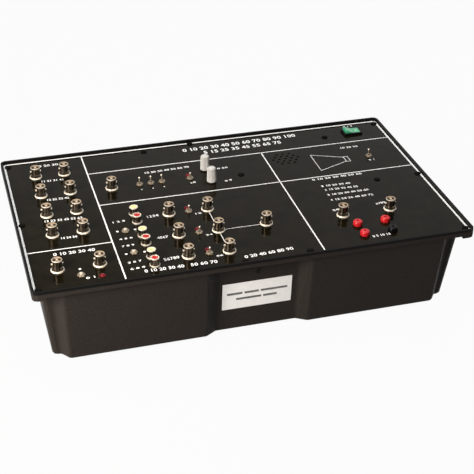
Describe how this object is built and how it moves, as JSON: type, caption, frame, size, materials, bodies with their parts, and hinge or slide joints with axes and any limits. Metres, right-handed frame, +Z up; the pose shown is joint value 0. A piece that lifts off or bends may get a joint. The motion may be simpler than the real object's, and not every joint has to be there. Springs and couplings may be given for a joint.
{
  "type": "spectrum analyzer trainer",
  "caption": "Bench trainer: a deep moulded case with a black panel of coaxial jacks, phono and banana sockets, toggles, presets, knobs, lamps, a speaker grille and a lit mains rocker.",
  "frame": {"origin": "centre of the case's footprint, on the table under the feet", "axes": "+X along the case to the right, +Y to the back, +Z up"},
  "size_m": [0.42, 0.255, 0.104],
  "materials": {
    "case_plastic": "moulded black, lightly grained",
    "panel_laminate": "black, semi-gloss, printed white",
    "jack_nickel": "nickel plated",
    "switch_nickel": "nickel plated",
    "rca_yellow": "plated, with a yellow core",
    "rca_red": "plated, with a red core",
    "lamp_lens": "clear red",
    "red_plastic": "moulded red",
    "black_plastic": "moulded black",
    "knob_plastic": "moulded light grey",
    "rocker_green": "clear green",
    "board_laminate": "green board with soldered parts",
    "speaker_steel": "plated",
    "core_steel": "varnished laminations",
    "foot_rubber": "black"
  },
  "bodies": {
    "case": {"base_tub": "case_plastic", "top_panel": "panel_laminate", "main_circuit_board": "board_laminate", "loudspeaker": "speaker_steel", "mains_transformer": "core_steel", "mains_inlet": "black_plastic", "power_switch_housing": "black_plastic", "rubber_foot_01": "foot_rubber", "rubber_foot_02": "foot_rubber", "rubber_foot_03": "foot_rubber", "rubber_foot_04": "foot_rubber", "bnc_jack_01": "jack_nickel", "bnc_jack_02": "jack_nickel", "bnc_jack_03": "jack_nickel", "bnc_jack_04": "jack_nickel", "bnc_jack_05": "jack_nickel", "bnc_jack_06": "jack_nickel", "bnc_jack_07": "jack_nickel", "bnc_jack_08": "jack_nickel", "bnc_jack_09": "jack_nickel", "bnc_jack_10": "jack_nickel", "bnc_jack_11": "jack_nickel", "bnc_jack_12": "jack_nickel", "bnc_jack_13": "jack_nickel", "bnc_jack_14": "jack_nickel", "bnc_jack_15": "jack_nickel", "bnc_jack_16": "jack_nickel", "bnc_jack_17": "jack_nickel", "bnc_jack_18": "jack_nickel", "bnc_jack_19": "jack_nickel", "bnc_jack_20": "jack_nickel", "rca_jack_yellow_01": "rca_yellow", "rca_jack_yellow_02": "rca_yellow", "rca_jack_yellow_03": "rca_yellow", "rca_jack_red_01": "rca_red", "rca_jack_red_02": "rca_red", "rca_jack_red_03": "rca_red", "indicator_lamp_01": "lamp_lens", "indicator_lamp_02": "lamp_lens", "indicator_lamp_03": "lamp_lens", "indicator_lamp_04": "lamp_lens", "indicator_lamp_05": "lamp_lens", "banana_socket_red_01": "red_plastic", "banana_socket_red_02": "red_plastic", "banana_socket_red_03": "red_plastic", "banana_socket_black_01": "black_plastic"},
    "toggle_lever_01": {"toggle_lever_01": "switch_nickel"},
    "toggle_lever_02": {"toggle_lever_02": "switch_nickel"},
    "toggle_lever_03": {"toggle_lever_03": "switch_nickel"},
    "toggle_lever_04": {"toggle_lever_04": "switch_nickel"},
    "toggle_lever_05": {"toggle_lever_05": "switch_nickel"},
    "toggle_lever_06": {"toggle_lever_06": "switch_nickel"},
    "toggle_lever_07": {"toggle_lever_07": "switch_nickel"},
    "toggle_lever_08": {"toggle_lever_08": "switch_nickel"},
    "preset_shaft_01": {"preset_shaft_01": "switch_nickel"},
    "preset_shaft_02": {"preset_shaft_02": "switch_nickel"},
    "preset_shaft_03": {"preset_shaft_03": "switch_nickel"},
    "level_knob_01": {"level_knob_01": "knob_plastic"},
    "level_knob_02": {"level_knob_02": "knob_plastic"},
    "power_switch_rocker": {"power_switch_rocker": "rocker_green"}
  },
  "joints": [
    {"name": "toggle_lever_01_throw", "type": "hinge", "parent": "case", "child": "toggle_lever_01", "pos_m": [-0.07851, 0.04607, 0.0876], "axis": [1, 0, 0], "range_deg": [0, 24]},
    {"name": "toggle_lever_02_throw", "type": "hinge", "parent": "case", "child": "toggle_lever_02", "pos_m": [-0.06688, 0.04607, 0.0876], "axis": [1, 0, 0], "range_deg": [0, 24]},
    {"name": "toggle_lever_03_throw", "type": "hinge", "parent": "case", "child": "toggle_lever_03", "pos_m": [-0.05546, 0.04607, 0.0876], "axis": [1, 0, 0], "range_deg": [0, 24]},
    {"name": "toggle_lever_04_throw", "type": "hinge", "parent": "case", "child": "toggle_lever_04", "pos_m": [0.16919, 0.04495, 0.0876], "axis": [1, 0, 0], "range_deg": [0, 24]},
    {"name": "toggle_lever_05_throw", "type": "hinge", "parent": "case", "child": "toggle_lever_05", "pos_m": [-0.02617, 0.0457, 0.0876], "axis": [-1, 0, 0], "range_deg": [0, 24]},
    {"name": "toggle_lever_06_throw", "type": "hinge", "parent": "case", "child": "toggle_lever_06", "pos_m": [-0.04362, -0.01941, 0.0876], "axis": [-1, 0, 0], "range_deg": [0, 24]},
    {"name": "toggle_lever_07_throw", "type": "hinge", "parent": "case", "child": "toggle_lever_07", "pos_m": [-0.04362, -0.06085, 0.0876], "axis": [-1, 0, 0], "range_deg": [0, 24]},
    {"name": "toggle_lever_08_throw", "type": "hinge", "parent": "case", "child": "toggle_lever_08", "pos_m": [-0.04362, -0.09928, 0.0876], "axis": [-1, 0, 0], "range_deg": [0, 24]},
    {"name": "preset_shaft_01_turn", "type": "hinge", "parent": "case", "child": "preset_shaft_01", "pos_m": [-0.16304, -0.10504, 0.0874], "axis": [0, 0, 1], "range_deg": [-135, 135]},
    {"name": "preset_shaft_02_turn", "type": "hinge", "parent": "case", "child": "preset_shaft_02", "pos_m": [-0.11029, -0.04006, 0.0874], "axis": [0, 0, 1], "range_deg": [-135, 135]},
    {"name": "preset_shaft_03_turn", "type": "hinge", "parent": "case", "child": "preset_shaft_03", "pos_m": [-0.11029, -0.08, 0.0874], "axis": [0, 0, 1], "range_deg": [-135, 135]},
    {"name": "level_knob_01_turn", "type": "hinge", "parent": "case", "child": "level_knob_01", "pos_m": [-0.00665, 0.05997, 0.0874], "axis": [0, 0, 1], "range_deg": [-150, 150]},
    {"name": "level_knob_02_turn", "type": "hinge", "parent": "case", "child": "level_knob_02", "pos_m": [-0.00665, 0.03305, 0.0874], "axis": [0, 0, 1], "range_deg": [-150, 150]},
    {"name": "power_switch_throw", "type": "hinge", "parent": "case", "child": "power_switch_rocker", "pos_m": [0.17177, 0.1036, 0.0884], "axis": [0, -1, 0], "range_deg": [0, 22]}
  ]
}
